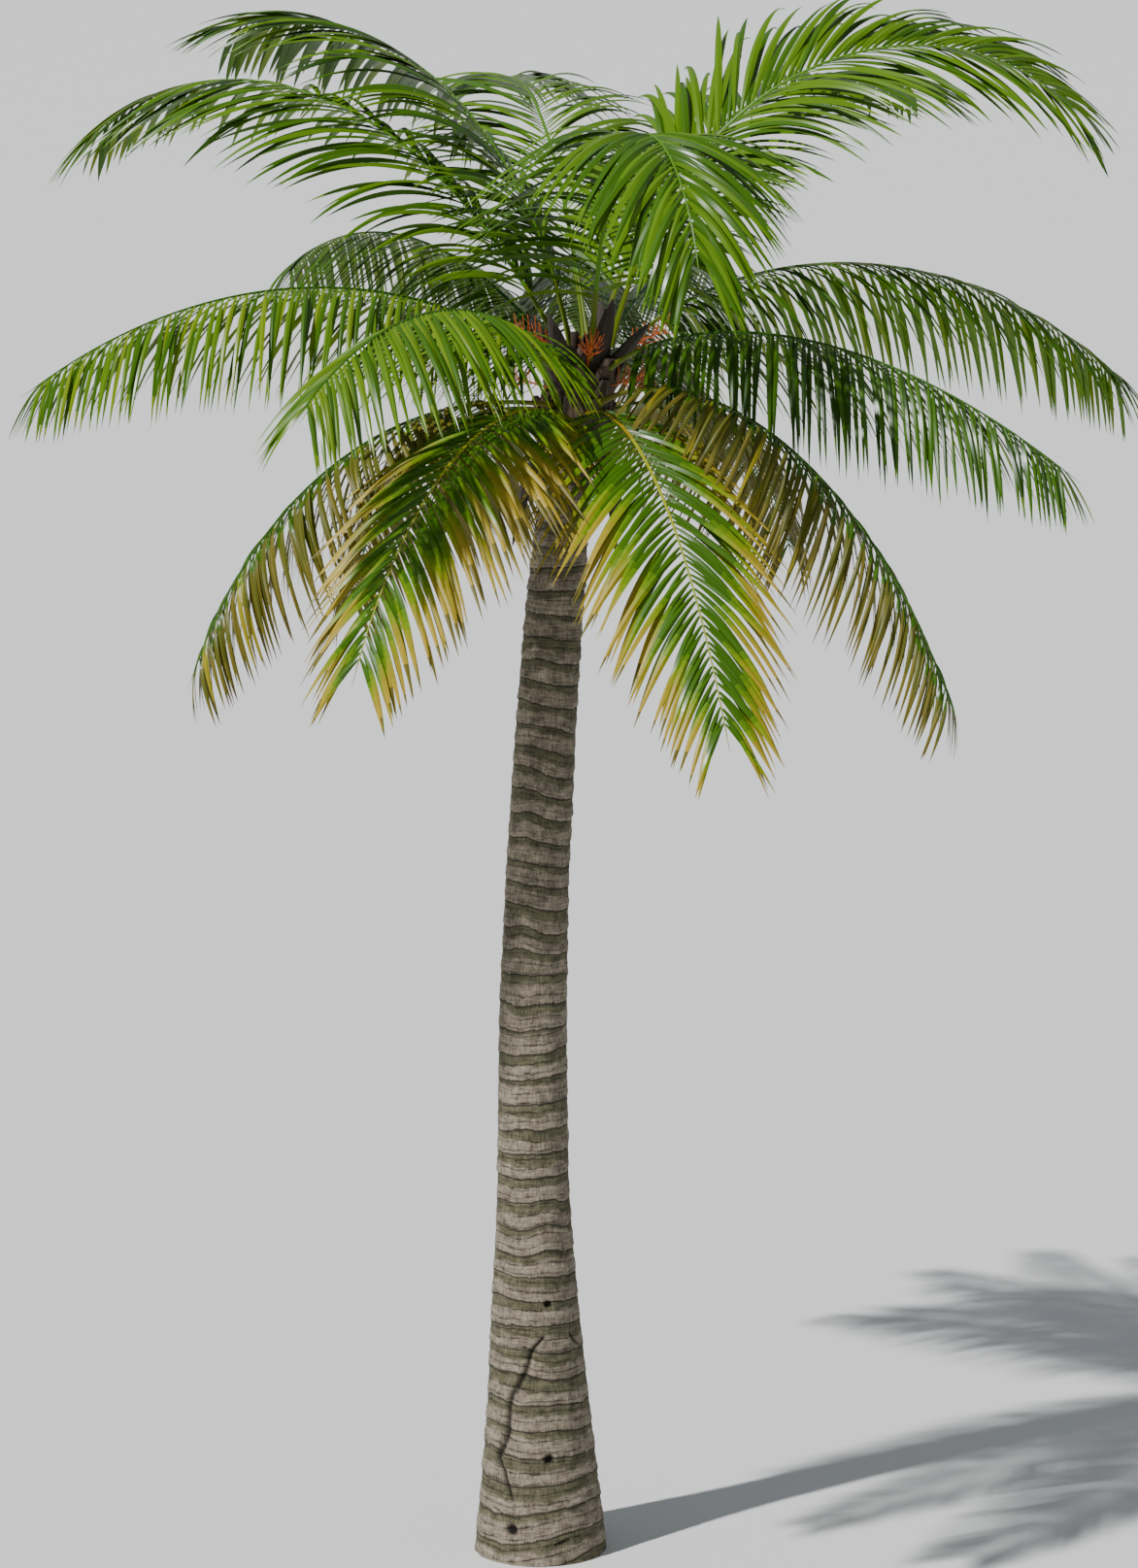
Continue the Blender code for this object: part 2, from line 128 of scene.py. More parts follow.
def settle(piece, surface, slot, *nodes):
    """Give a finished piece its surface, and tie it to the frame in place of its solids."""
    if surface:
        piece.data.materials.clear()
        piece.data.materials.append(surface)
    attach(piece, "root")
    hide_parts(*nodes)


def smooth_step(value, low, high):
    share = np.clip((value - low) / (high - low), 0.0, 1.0)
    return share * share * (3 - 2 * share)


def wander(turn, height, columns, rows, seed):
    """Smooth noise between -1 and 1 that closes round the trunk. Rows are per metre."""
    random = np.random.default_rng(seed)
    table = random.uniform(-1, 1, (int(rows * TRUNK_HEIGHT) + 3, columns))
    column = turn % 1.0 * columns
    row = height * rows
    left = np.floor(column).astype(int) % columns
    low = np.clip(np.floor(row).astype(int), 0, len(table) - 2)
    across = smooth_step(column - np.floor(column), 0, 1)
    up = smooth_step(row - low, 0, 1)
    right = (left + 1) % columns
    below = table[low, left] * (1 - across) + table[low, right] * across
    above = table[low + 1, left] * (1 - across) + table[low + 1, right] * across
    return below * (1 - up) + above * up


def trunk_middle(height):
    """How far the trunk's middle stands to the right of its foot."""
    share = height / TRUNK_HEIGHT
    bow = TRUNK_BOW * np.maximum(0.0, np.sin(np.pi * np.clip(share, 0, 1))) ** 1.5
    return TRUNK_LEAN * share**3 - bow


def trunk_radius(height):
    taper = BUTT_RADIUS + (TOP_RADIUS - BUTT_RADIUS) * height / TRUNK_HEIGHT
    flare = FLARE * np.maximum(0.0, 1 - height / FLARE_HEIGHT) ** 1.4
    above = np.maximum(0.0, height - NECK_HEIGHT) / (TRUNK_HEIGHT - NECK_HEIGHT)
    return taper + flare - NECK * above**1.5


def near_line(across, height, points, half_width):
    """1 on a line through the points, falling to 0 at its half width, which thins to the ends."""
    nearest = np.full(len(across), 0.0)
    for i in range(len(points) - 1):
        (x, z), (x_end, z_end) = points[i : i + 2]
        along = ((across - x) * (x_end - x) + (height - z) * (z_end - z)) / (
            (x_end - x) ** 2 + (z_end - z) ** 2
        )
        along = np.clip(along, 0, 1)
        away = np.hypot(across - x - along * (x_end - x), height - z - along * (z_end - z))
        share = (i + along) / (len(points) - 1)
        thin = half_width * (0.45 + 0.55 * np.sin(np.pi * share))
        nearest = np.maximum(nearest, 1 - away / thin)
    return nearest


bpy.ops.object.select_all(action="DESELECT")
bpy.ops.mesh.primitive_cylinder_add(
    vertices=TRUNK_SIDES, radius=1, depth=TRUNK_HEIGHT, location=(0, 0, TRUNK_HEIGHT / 2)
)
trunk = bpy.context.object
trunk.name = "trunk_bark"
bpy.ops.object.transform_apply(location=True, rotation=True, scale=True)
for cuts in (FIRST_CUTS, SECOND_CUTS):
    bpy.ops.object.mode_set(mode="EDIT")
    bpy.ops.mesh.select_all(action="DESELECT")
    edit = bmesh.from_edit_mesh(trunk.data)
    for edge in edit.edges:
        low, high = edge.verts
        edge.select = abs(low.co.z - high.co.z) > abs(low.co.x - high.co.x) + abs(low.co.y - high.co.y)
    bmesh.update_edit_mesh(trunk.data)
    bpy.ops.mesh.select_mode(type="EDGE")
    bpy.ops.mesh.subdivide(number_cuts=cuts)
    bpy.ops.object.mode_set(mode="OBJECT")

count = len(trunk.data.vertices)
places = np.empty(count * 3)
trunk.data.vertices.foreach_get("co", places)
places = places.reshape(-1, 3)
height = places[:, 2]
round_front = np.arctan2(places[:, 0], -places[:, 1])
angle = round_front - FRONT_CROWDING * np.sin(round_front)
turn = angle / (2 * np.pi) + 0.5
radius = trunk_radius(height)
rings = np.log(RING_SPACING / (RING_SPACING - RING_CLOSING * height)) / RING_CLOSING
rings = rings + 0.45 * wander(turn, height, 3, 1.6, 1) + 0.17 * wander(turn, height, 9, 5.0, 2)
rings = rings + 0.035 * wander(turn, height, 60, 24.0, 3)
part = rings % 1.0
swell = smooth_step(part, 0.0, 0.06) * np.clip(1 - (part / SCAR_SHARE) ** 2, 0, 1) ** 0.7
fine = rings * RIDGES % 1.0
ridge = smooth_step(fine, 0.0, 0.2) * (1 - fine)
relief = SCAR_RELIEF * (0.75 * swell + 0.55 * ridge) * (1 + 0.6 * wander(turn, height, 5, 6.0, 4))
relief += 0.004 * wander(turn, height, 6, 1.5, 5) + 0.0015 * wander(turn, height, 40, 9.0, 6)
across = radius * np.sin(angle) + trunk_middle(height)
front = np.cos(angle) > 0
crack = np.zeros(count)
for points, half_width in CRACKS:
    crack = np.maximum(crack, near_line(across, height, points, half_width))
for middle, level, size in KNOT_HOLES:
    crack = np.maximum(crack, 2.4 - 2.4 * np.hypot(across - middle, height - level) / size)
crack = np.clip(crack, 0, 1) * front
relief -= CRACK_DEPTH * crack
ends = (height < 0.001) | (height > TRUNK_HEIGHT - 0.001)
relief = np.where(ends & (height > 1), 0, relief)
places[:, 0] = (radius + relief) * np.sin(angle) + trunk_middle(height)
places[:, 1] = -(radius + relief) * np.cos(angle)
trunk.data.vertices.foreach_set("co", places.ravel())
for name, values in (("rings", rings), ("crack", crack)):
    trunk.data.attributes.new(name, "FLOAT", "POINT").data.foreach_set("value", values)
trunk.data.update()
select_only(trunk)
bpy.ops.object.shade_smooth_by_angle(angle=math.radians(70))

# Palm bark: rough and dry, with fibres that run up the trunk about 8 mm apart. The pale scars are
# weathered wood, the green between them is living bark with a film of algae.
bark = new_surface("palm bark", "8A7C68", 0.88, Specular_IOR_Level=0.25)
shader = bark.node_tree.nodes["Principled BSDF"]
place = add_node(bark, "TexCoord", {}, {}).outputs["Object"]
ring = add_node(bark, "Attribute", {"attribute_name": "rings"}, {}).outputs["Fac"]
crack_shade = add_node(bark, "Attribute", {"attribute_name": "crack"}, {}).outputs["Fac"]
upright = add_node(bark, "Mapping", {"Scale": (1.0, 1.0, 0.16)}, {"Vector": place}).outputs[0]
level = add_node(bark, "Mapping", {"Scale": (0.12, 0.12, 1.0)}, {"Vector": place}).outputs[0]
fibres = add_node(bark, "TexNoise", {"Scale": 120.0, "Detail": 4.0, "Roughness": 0.65}, {"Vector": upright})
streaks = add_node(bark, "TexNoise", {"Scale": 85.0, "Detail": 4.0, "Roughness": 0.6}, {"Vector": level})
patches = add_node(bark, "TexNoise", {"Scale": 5.0, "Detail": 5.0, "Roughness": 0.6}, {"Vector": place})
grime = add_node(bark, "TexNoise", {"Scale": 17.0, "Detail": 5.0, "Roughness": 0.7}, {"Vector": place})
fibre = add_node(
    bark, "MapRange", {"From Min": 0.33, "From Max": 0.68}, {"Value": fibres.outputs[0]}
).outputs[0]
streak = add_node(
    bark, "MapRange", {"From Min": 0.36, "From Max": 0.62}, {"Value": streaks.outputs[0]}
).outputs[0]
notched = add_node(
    bark, "Math", {"operation": "MULTIPLY_ADD", 1: 0.10}, {0: fibres.outputs[0], 2: ring}
).outputs[0]
step = add_node(bark, "Math", {"operation": "SUBTRACT", 1: 0.05}, {0: notched}).outputs[0]
share = add_node(bark, "Math", {"operation": "FRACT"}, {0: step}).outputs[0]
past = add_node(
    bark, "Math", {"operation": "MULTIPLY_ADD", 1: 0.9}, {0: patches.outputs[0], 2: share}
).outputs[0]
which = add_node(bark, "Math", {"operation": "FLOOR"}, {0: step}).outputs[0]
luck = add_node(bark, "TexWhiteNoise", {"noise_dimensions": "1D"}, {"W": which}).outputs[0]
past = add_node(bark, "Math", {"operation": "MULTIPLY_ADD", 1: 0.34}, {0: luck, 2: past}).outputs[0]
green = add_node(
    bark, "MapRange",
    {"From Min": 1.18, "From Max": 1.32, "To Max": 0.85, "interpolation_type": "SMOOTHSTEP"},
    {"Value": past},
).outputs[0]
weather = add_node(
    bark, "Math", {"operation": "MULTIPLY_ADD", 1: 0.55}, {0: streak, 2: fibre}
).outputs[0]
weather = add_node(bark, "MapRange", {"From Max": 1.5}, {"Value": weather}).outputs[0]
wood = add_node(
    bark, "Mix", {"data_type": "RGBA", 6: (*linear("5C564B"), 1), 7: (*linear("B8AA95"), 1)}, {0: weather}
).outputs[2]
moss = add_node(
    bark, "Mix", {"data_type": "RGBA", 6: (*linear("3D3D2C"), 1), 7: (*linear("757254"), 1)}, {0: weather}
).outputs[2]
colour = add_node(bark, "Mix", {"data_type": "RGBA"}, {0: green, 6: wood, 7: moss}).outputs[2]
dirt = add_node(
    bark, "MapRange", {"From Min": 0.42, "From Max": 0.66, "To Max": 0.6}, {"Value": grime.outputs[0]}
).outputs[0]
colour = add_node(
    bark, "Mix", {"data_type": "RGBA", "blend_type": "MULTIPLY", 7: (*linear("857C70"), 1)},
    {0: dirt, 6: colour},
).outputs[2]
# Painted shade: near-black lines under the lip of each leaf scar and along the fine splits between its
# ridges, where shade falls. The same lines also sink the bump.
lip_shade = add_node(
    bark, "MapRange", {"From Min": 0.01, "From Max": 0.06, "To Min": 0.95, "To Max": 0.0}, {"Value": share}
).outputs[0]
under = add_node(
    bark, "MapRange", {"From Min": 0.94, "From Max": 1.0, "To Max": 0.8}, {"Value": share}
).outputs[0]
split_shade = add_node(bark, "Math", {"operation": "MULTIPLY", 1: RIDGES}, {0: step}).outputs[0]
split_shade = add_node(bark, "Math", {"operation": "FRACT"}, {0: split_shade}).outputs[0]
split_shade = add_node(
    bark, "MapRange", {"From Min": 0.02, "From Max": 0.16, "To Min": 0.9, "To Max": 0.0}, {"Value": split_shade}
).outputs[0]
broken = add_node(
    bark, "MapRange", {"From Min": 0.38, "From Max": 0.58, "To Min": 0.25}, {"Value": grime.outputs[0]}
).outputs[0]
split_shade = add_node(bark, "Math", {"operation": "MULTIPLY"}, {0: split_shade, 1: broken}).outputs[0]
groove_shade = add_node(bark, "Math", {"operation": "MAXIMUM"}, {0: lip_shade, 1: under}).outputs[0]
groove_shade = add_node(bark, "Math", {"operation": "MAXIMUM"}, {0: groove_shade, 1: split_shade}).outputs[0]
colour = add_node(
    bark, "Mix", {"data_type": "RGBA", 7: (*linear("241F1A"), 1)}, {0: groove_shade, 6: colour}
).outputs[2]
# Painted shade: the bark is darkened from 2.4 m up towards the crown, standing in for the crown's shadow on
# the upper trunk.
rise = add_node(bark, "SeparateXYZ", {}, {0: place}).outputs[2]
shade = add_node(
    bark, "MapRange",
    {"From Min": 2.4, "From Max": 5.3, "To Max": 0.7, "interpolation_type": "SMOOTHSTEP"},
    {"Value": rise},
).outputs[0]
colour = add_node(
    bark, "Mix", {"data_type": "RGBA", "blend_type": "MULTIPLY", 7: (*linear("C8C7C4"), 1)},
    {0: shade, 6: colour},
).outputs[2]
# Painted shade: the cracks and knot holes are darkened to near black, standing in for the shade deep inside
# them.
colour = add_node(
    bark, "Mix", {"data_type": "RGBA", 7: (*linear("17130F"), 1)}, {0: crack_shade, 6: colour}
).outputs[2]
bark.node_tree.links.new(colour, shader.inputs["Base Color"])
rough = add_node(bark, "Math", {"operation": "ADD"}, {0: fibre, 1: streak}).outputs[0]
deep = add_node(bark, "Math", {"operation": "MULTIPLY_ADD", 1: -1.5}, {0: groove_shade, 2: rough}).outputs[0]
bump = add_node(bark, "Bump", {"Strength": 0.9, "Distance": 0.003}, {"Height": deep}).outputs[0]
bark.node_tree.links.new(bump, shader.inputs["Normal"])
settle(trunk, bark, "bark", "trunk")

# Crown heart. The broken stubs of old leaf bases overlap round the growing point like scales,
# dark with age, and matted brown fibre fills the spaces between them.
HEART_LEAN = 0.22
HEART_PROFILE = (  # height above the trunk, radius
    (0.00, 0.105), (0.05, 0.142), (0.14, 0.168), (0.26, 0.145), (0.38, 0.105), (0.46, 0.070), (0.52, 0.030),
)
HEART_SIDES = 64
HEART_CUTS = 40
STUB_COUNT = 34
STUB_SIZE = (0.13, 0.028, 0.17)
BOOTS = (  # the youngest stubs stand between the stalks: bearing, height, size, lean outwards
    (-160, 0.33, 1.25, 0.9), (-128, 0.40, 1.10, 0.6), (-100, 0.30, 1.15, 0.5), (-72, 0.42, 1.25, 0.4),
    (-46, 0.33, 1.20, 0.8), (-20, 0.38, 1.30, 0.9), (14, 0.32, 1.25, 0.8), (52, 0.40, 1.15, 0.6),
    (88, 0.34, 1.25, 0.7), (124, 0.40, 1.15, 0.6), (160, 0.34, 1.20, 0.8), (-86, 0.47, 0.95, 0.2),
    (30, 0.47, 0.95, 0.2), (150, 0.47, 0.95, 0.2),
)
GOLDEN_TURN = math.radians(137.5)
FIBRE_COUNT = 260


def heart_middle(height):
    """A point on the heart's leaning axis."""
    top = float(trunk_middle(TRUNK_HEIGHT))
    return Vector((top + HEART_LEAN * (height - TRUNK_HEIGHT), 0.0, height))


def heart_radius(height):
    rises, radii = zip(*HEART_PROFILE)
    return float(np.interp(height - TRUNK_HEIGHT, rises, radii))


def join(pieces, name):
    """Join several meshes into one piece, its place kept in its mesh."""
    bpy.ops.object.select_all(action="DESELECT")
    for piece in pieces:
        piece.select_set(True)
    bpy.context.view_layer.objects.active = pieces[0]
    bpy.ops.object.join()
    bpy.ops.object.transform_apply(location=True, rotation=True, scale=True)
    pieces[0].name = name
    return pieces[0]


heart_height = HEART_PROFILE[-1][0]
bpy.ops.object.select_all(action="DESELECT")
bpy.ops.mesh.primitive_cylinder_add(
    vertices=HEART_SIDES, radius=1, depth=heart_height, location=(0, 0, TRUNK_HEIGHT + heart_height / 2)
)
core = bpy.context.object
bpy.ops.object.transform_apply(location=True, rotation=True, scale=True)
bpy.ops.object.mode_set(mode="EDIT")
bpy.ops.mesh.select_all(action="DESELECT")
edit = bmesh.from_edit_mesh(core.data)
for edge in edit.edges:
    edge.select = abs(edge.verts[0].co.z - edge.verts[1].co.z) > 0.01
bpy.ops.mesh.select_mode(type="EDGE")
bpy.ops.mesh.subdivide(number_cuts=HEART_CUTS)
bpy.ops.object.mode_set(mode="OBJECT")
for vertex in core.data.vertices:
    spot = vertex.co.copy()
    rough = noise.fractal(Vector((spot.x * 3, spot.y * 3, spot.z * 9)), 0.6, 2.1, 5)
    wide = heart_radius(spot.z) * (0.93 + 0.10 * rough)
    middle = heart_middle(spot.z)
    vertex.co = Vector((middle.x + spot.x * wide, spot.y * wide, max(spot.z, TRUNK_HEIGHT + 0.0005)))
select_only(core)
bpy.ops.object.shade_smooth_by_angle(angle=math.radians(50))

# One stub: a curved scale, broad at its root, torn and bent outwards at its top
bpy.ops.object.select_all(action="DESELECT")
bpy.ops.mesh.primitive_cube_add(size=1)
stub = bpy.context.object
stub.scale = STUB_SIZE
bpy.ops.object.transform_apply(location=False, rotation=False, scale=True)
bpy.ops.object.mode_set(mode="EDIT")
bpy.ops.mesh.select_all(action="SELECT")
bpy.ops.mesh.subdivide(number_cuts=9)
bpy.ops.object.mode_set(mode="OBJECT")
scale_points = [vertex.co.copy() for vertex in stub.data.vertices]
random = np.random.default_rng(11)
stubs = []
for i in range(STUB_COUNT + len(BOOTS)):
    piece = stub.copy()
    piece.data = stub.data.copy()
    bpy.context.scene.collection.objects.link(piece)
    level = 0.03 + 0.40 * (i + 0.5) / STUB_COUNT
    bearing = i * GOLDEN_TURN
    size = random.uniform(0.85, 1.2) * (1 - 0.30 * i / STUB_COUNT)
    lean = random.uniform(0.10, 0.50)
    if i >= STUB_COUNT:
        degrees, level, size, lean = BOOTS[i - STUB_COUNT]
        bearing = math.radians(degrees)
    level = level + TRUNK_HEIGHT
    outward = Vector((math.cos(bearing), math.sin(bearing), 0))
    seed = Vector((i * 3.7, 0, 0))
    for vertex, spot in zip(piece.data.vertices, scale_points):
        rise = min(1.0, max(0.0, spot.z / STUB_SIZE[2] + 0.5))
        narrow = 1 - 0.5 * rise**1.8
        torn = 0.022 * noise.noise(Vector((spot.x * 60, 0, 0)) + seed) * rise
        ridge = 0.004 * math.cos(spot.x * 190) * (1 if spot.y < 0 else -1)
        rough = 0.010 * noise.noise(spot * 28 + seed)
        thick = spot.y * (1.2 - 0.7 * rise) * size + 3.2 * (spot.x * narrow) ** 2
        depth = thick + ridge + rough - lean * 0.1 * rise**2
        vertex.co = Vector((spot.x * narrow * size, depth, (spot.z + torn) * size))
    face_out = Matrix.Rotation(bearing + math.pi / 2, 4, "Z")
    middle = heart_middle(level) + outward * (heart_radius(level) + 0.004)
    tilt = Matrix.Rotation(random.uniform(-0.15, 0.15), 4, "Y")
    piece.matrix_world = Matrix.Translation(middle) @ face_out @ tilt
    stubs.append(piece)
bpy.data.objects.remove(stub, do_unlink=True)


def thin_strands(name, roots, ways, lengths, width, droop):
    """Fine strands of three flat sides each, joined into one mesh."""
    points = []
    faces = []
    for root, way, length in zip(roots, ways, lengths):
        spot = Vector(root)
        side = way.cross(Vector((0, 0, 1))).normalized()
        other = way.cross(side).normalized()
        first = len(points)
        for step in range(5):
            wide = width * (1 - step / 5)
            back = spot - side * wide * 0.5
            points += [spot + side * wide, back + other * wide, back - other * wide]
            now = (way - Vector((0, 0, droop * step / 5))).normalized()
            spot = spot + now * length / 5
        points.append(spot)
        tip = len(points) - 1
        faces.append([first + 2, first + 1, first])
        for step in range(4):
            low = first + 3 * step
            for i in range(3):
                j = (i + 1) % 3
                faces.append([low + i, low + j, low + 3 + j, low + 3 + i])
        faces += [[first + 12, first + 13, tip], [first + 13, first + 14, tip], [first + 14, first + 12, tip]]
    mesh = bpy.data.meshes.new(name)
    mesh.from_pydata(points, [], faces)
    mesh.update()
    piece = bpy.data.objects.new(name, mesh)
    bpy.context.scene.collection.objects.link(piece)
    return piece


roots = []
ways = []
for i in range(FIBRE_COUNT):
    level = TRUNK_HEIGHT + random.uniform(0.0, 0.45)
    bearing = random.uniform(0, 2 * math.pi)
    outward = Vector((math.cos(bearing), math.sin(bearing), 0))
    roots.append(heart_middle(level) + outward * (heart_radius(level) + 0.002))
    sideways = Vector((-outward.y, outward.x, 0))
    way = outward * random.uniform(0.1, 0.7) + sideways * random.uniform(-0.8, 0.8)
    ways.append((way + Vector((0, 0, random.uniform(-1.0, 0.6)))).normalized())
fibres = thin_strands("fibres", roots, ways, random.uniform(0.03, 0.09, FIBRE_COUNT), 0.0016, 1.0)
heart = join([core, *stubs, fibres], "crown_heart_stubs")
select_only(heart)
bpy.ops.object.shade_smooth_by_angle(angle=math.radians(45))

# Old leaf bases: dead fibre, almost black where it is damp and grey brown on its worn ridges
fibre = new_surface("old leaf base fibre", "2E2620", 0.92)
shader = fibre.node_tree.nodes["Principled BSDF"]
place = add_node(fibre, "TexCoord", {}, {}).outputs["Object"]
upright = add_node(fibre, "Mapping", {"Scale": (1.0, 1.0, 0.15)}, {"Vector": place}).outputs[0]
strands = add_node(fibre, "TexNoise", {"Scale": 160.0, "Detail": 4.0}, {"Vector": upright}).outputs[0]
patches = add_node(fibre, "TexNoise", {"Scale": 14.0, "Detail": 4.0}, {"Vector": place}).outputs[0]
colour = add_node(
    fibre, "Mix", {"data_type": "RGBA", 6: (*linear("1E1814"), 1), 7: (*linear("4E4236"), 1)}, {0: strands}
).outputs[2]
spread = add_node(fibre, "MapRange", {"From Min": 0.45, "From Max": 0.65}, {"Value": patches}).outputs[0]
colour = add_node(
    fibre, "Mix", {"data_type": "RGBA", 7: (*linear("544534"), 1)}, {0: spread, 6: colour}
).outputs[2]
fibre.node_tree.links.new(colour, shader.inputs["Base Color"])
bump = add_node(fibre, "Bump", {"Strength": 0.9, "Distance": 0.004}, {"Height": strands}).outputs[0]
fibre.node_tree.links.new(bump, shader.inputs["Normal"])
settle(heart, fibre, "leaf_base_fibre", "crown_heart")

# Fronds. Each leaf is a stiff rib with a clasping base, and sixty to eighty leaflets fold roofwise
# along either side of it. Young ones stand up, full ones reach out, old ones hang and turn brown.
SOCKET_RADIUS = 0.10
COURSE_STEPS = 120
RIB_WIDTH = 0.038
RIB_TIP_WIDTH = 0.010
SHEATH_WIDTH = 0.030
SHEATH_LENGTH = 0.05
LONGEST_AT = 0.45
SHORTER_AT_STALK = 0.55
SHORTER_AT_TIP = 0.54
SWEEP_AT_ROOT = 68.0
SWEEP_AT_TIP = 34.0
LEAFLET_STEPS = 16
LEAFLET_BASE = 0.32  # its width at the rib, as a share of the full width
WIDEST_AT = 0.34
LEAFLET_TWIST = 24.0  # degrees a blade turns its upper side forward
LEAFLET_FOLD = 0.38  # how deep a leaflet is folded, as a share of its half width
LEAFLET_THICKNESS = 0.0016
END_LENGTH = 0.15

# bare: the share of the rib before its first leaflets. The rest is how the leaflets are held.
# forward: degrees they turn along the rib. lift: degrees above the rib's plane. sag and curl:
# how far they bend down, and back towards the trunk. length: the longest.
Age = namedtuple("Age", "bare forward lift sag curl length")
YOUNG = Age(0.11, 18, 15, 0.9, 0.0, 0.93)
OPENING = Age(0.11, 0, 6, 1.2, 0.0, 0.96)
ARCHING = Age(0.11, 16, -4, 0.9, 0.0, 0.90)
FULL = Age(0.11, 0, -20, 1.8, 0.0, 0.75)
SPREADING = Age(0.11, 0, -22, 0.9, 0.0, 0.82)
AGEING = Age(0.14, 0, -4, 1.0, 0.0, 0.84)
OLD = Age(0.17, 18, -2, 1.7, 1.2, 0.76)

# pairs: how many leaflets on each side. half_width: of a leaflet, in metres. fullness: above 1 it
# keeps its width longer before it narrows.
Blade = namedtuple("Blade", "pairs half_width fullness")
BLADES = {
    YOUNG: Blade(72, 0.0205, 2.4),
    OPENING: Blade(66, 0.0210, 2.4),
    ARCHING: Blade(72, 0.0205, 2.2),
    FULL: Blade(84, 0.0130, 1.8),
    SPREADING: Blade(64, 0.0165, 2.0),
    AGEING: Blade(60, 0.0175, 2.0),
    OLD: Blade(78, 0.0125, 1.8),
}

# root: height where it leaves the heart. bearing: heading in degrees from +X towards +Y.
# launch: climb at the root. fall: how far the climb has dropped at the tip. power: above 1 it
# bends late, below 1 early. turn: how far the bearing swings by the tip. roll: raises the
# left-hand side, seen from the trunk.
Limb = namedtuple("Limb", "name root bearing launch fall power turn length roll")
FRONDS = (
    (OPENING, Limb("frond_upper_front", 6.05, -81, 70, 133, 1.4, 6, 2.92, 0)),
    (YOUNG, Limb("frond_upper_right", 6.10, 15, 74, 117, 1.4, -7, 3.15, 25)),
    (ARCHING, Limb("frond_upper_left", 6.04, 160, 59, 97, 1.6, -6, 3.20, -4)),
    (ARCHING, Limb("frond_upper_left_back", 6.06, 136, 73, 86, 1.3, 12, 2.94, 22)),
    (YOUNG, Limb("frond_upper_back", 6.10, 99, 49, 58, 1.4, 2, 3.00, 0)),
    (YOUNG, Limb("frond_upper_right_back", 6.04, 53, 77, 91, 0.8, -7, 3.10, 0)),
    (SPREADING, Limb("frond_middle_front_left", 5.93, -114, 32, 63, 1.1, -3, 2.92, 0)),
    (FULL, Limb("frond_middle_front_right", 5.95, -41, 48, 81, 0.5, 9, 2.81, 0)),
    (FULL, Limb("frond_middle_left", 5.95, -146, 39, 70, 0.9, -2, 3.05, 0)),
    (FULL, Limb("frond_middle_right", 5.98, 14, 56, 99, 0.7, 0, 2.99, -24)),
    (FULL, Limb("frond_middle_left_back", 5.97, 122, 30, 58, 1.5, 1, 2.99, 0)),
    (FULL, Limb("frond_middle_right_back", 5.92, 75, 24, 35, 1.1, 2, 3.00, 0)),
    (FULL, Limb("frond_middle_back_left", 5.88, 110, 23, 32, 1.3, -7, 3.00, 0)),
    (FULL, Limb("frond_middle_back", 6.00, 92, 32, 66, 1.1, 0, 3.00, 0)),
    (AGEING, Limb("frond_lower_front_right", 5.76, -77, 20, 72, 0.7, 1, 3.15, 0)),
    (AGEING, Limb("frond_lower_front_left", 5.76, -107, 14, 72, 1.2, -9, 2.95, 0)),
    (OLD, Limb("frond_lower_right", 5.80, -51, 32, 91, 0.65, -2, 3.12, -28)),
    (OLD, Limb("frond_lower_left", 5.82, -131, 9, 71, 1.3, -1, 2.90, 28)),
    (OLD, Limb("frond_lower_right_back", 5.72, 62, 8, 66, 1.4, 4, 2.85, 0)),
    (OLD, Limb("frond_lower_left_back", 5.77, 119, 1, 62, 1.3, -3, 2.90, 0)),
    (OLD, Limb("frond_lower_back_left", 5.70, 101, 3, 42, 1.2, 4, 3.00, 0)),
    (OLD, Limb("frond_lower_back_right", 5.80, 78, 20, 60, 1.1, 0, 3.00, 0)),
)

# Living leaf has a waxy skin that glints; dead leaf is dull. A leaflet turns from its rib to its
# tip, green to yellow to brown, so each shade is its own plain surface, dealt out by face.
SHADES = {
    "deep green leaf": ("284603", 0.32),
    "mid green leaf": ("3C6205", 0.30),
    "bright green leaf": ("557A06", 0.30),
    "fresh green leaf": ("638207", 0.30),
    "lime leaf": ("708A08", 0.30),
    "turning leaf": ("7C8E0C", 0.36),
    "yellow green leaf": ("888D12", 0.40),
    "olive yellow leaf": ("93881C", 0.44),
    "straw leaf": ("9F8E23", 0.46),
    "yellow leaf": ("AA932A", 0.48),
    "ochre leaf": ("6B621A", 0.52),
    "olive leaf": ("5A5C14", 0.50),
    "brown leaf": ("534817", 0.62),
}
LEAF_GLOSS = 0.30
shade_surfaces = [
    new_surface(name, *looks, Specular_IOR_Level=LEAF_GLOSS) for name, looks in SHADES.items()
]
DEEP, MID, BRIGHT, FRESH, LIME, TURNING, YELLOW_GREEN = range(7)
OLIVE_YELLOW, STRAW, YELLOW, OCHRE, OLIVE, BROWN = range(7, len(SHADES))


def heading(bearing, climb):
    """The unit direction for a bearing and a climb in degrees."""
    flat = Vector((math.cos(math.radians(bearing)), math.sin(math.radians(bearing)), 0.0))
    return flat * math.cos(math.radians(climb)) + Vector((0, 0, 1)) * math.sin(math.radians(climb))


def course_of(limb):
    """Points along a limb, each with its forward, left and upward directions."""
    point = heart_middle(limb.root) + SOCKET_RADIUS * heading(limb.bearing, 0)
    course = []
    for i in range(COURSE_STEPS + 1):
        share = i / COURSE_STEPS
        bearing = limb.bearing + limb.turn * share
        forward = heading(bearing, limb.launch - limb.fall * share**limb.power)
        left = heading(bearing + 90, 0)
        left.rotate(Matrix.Rotation(math.radians(limb.roll), 3, forward))
        course.append((point.copy(), forward, left, forward.cross(left)))
        point += forward * limb.length / COURSE_STEPS
    return course


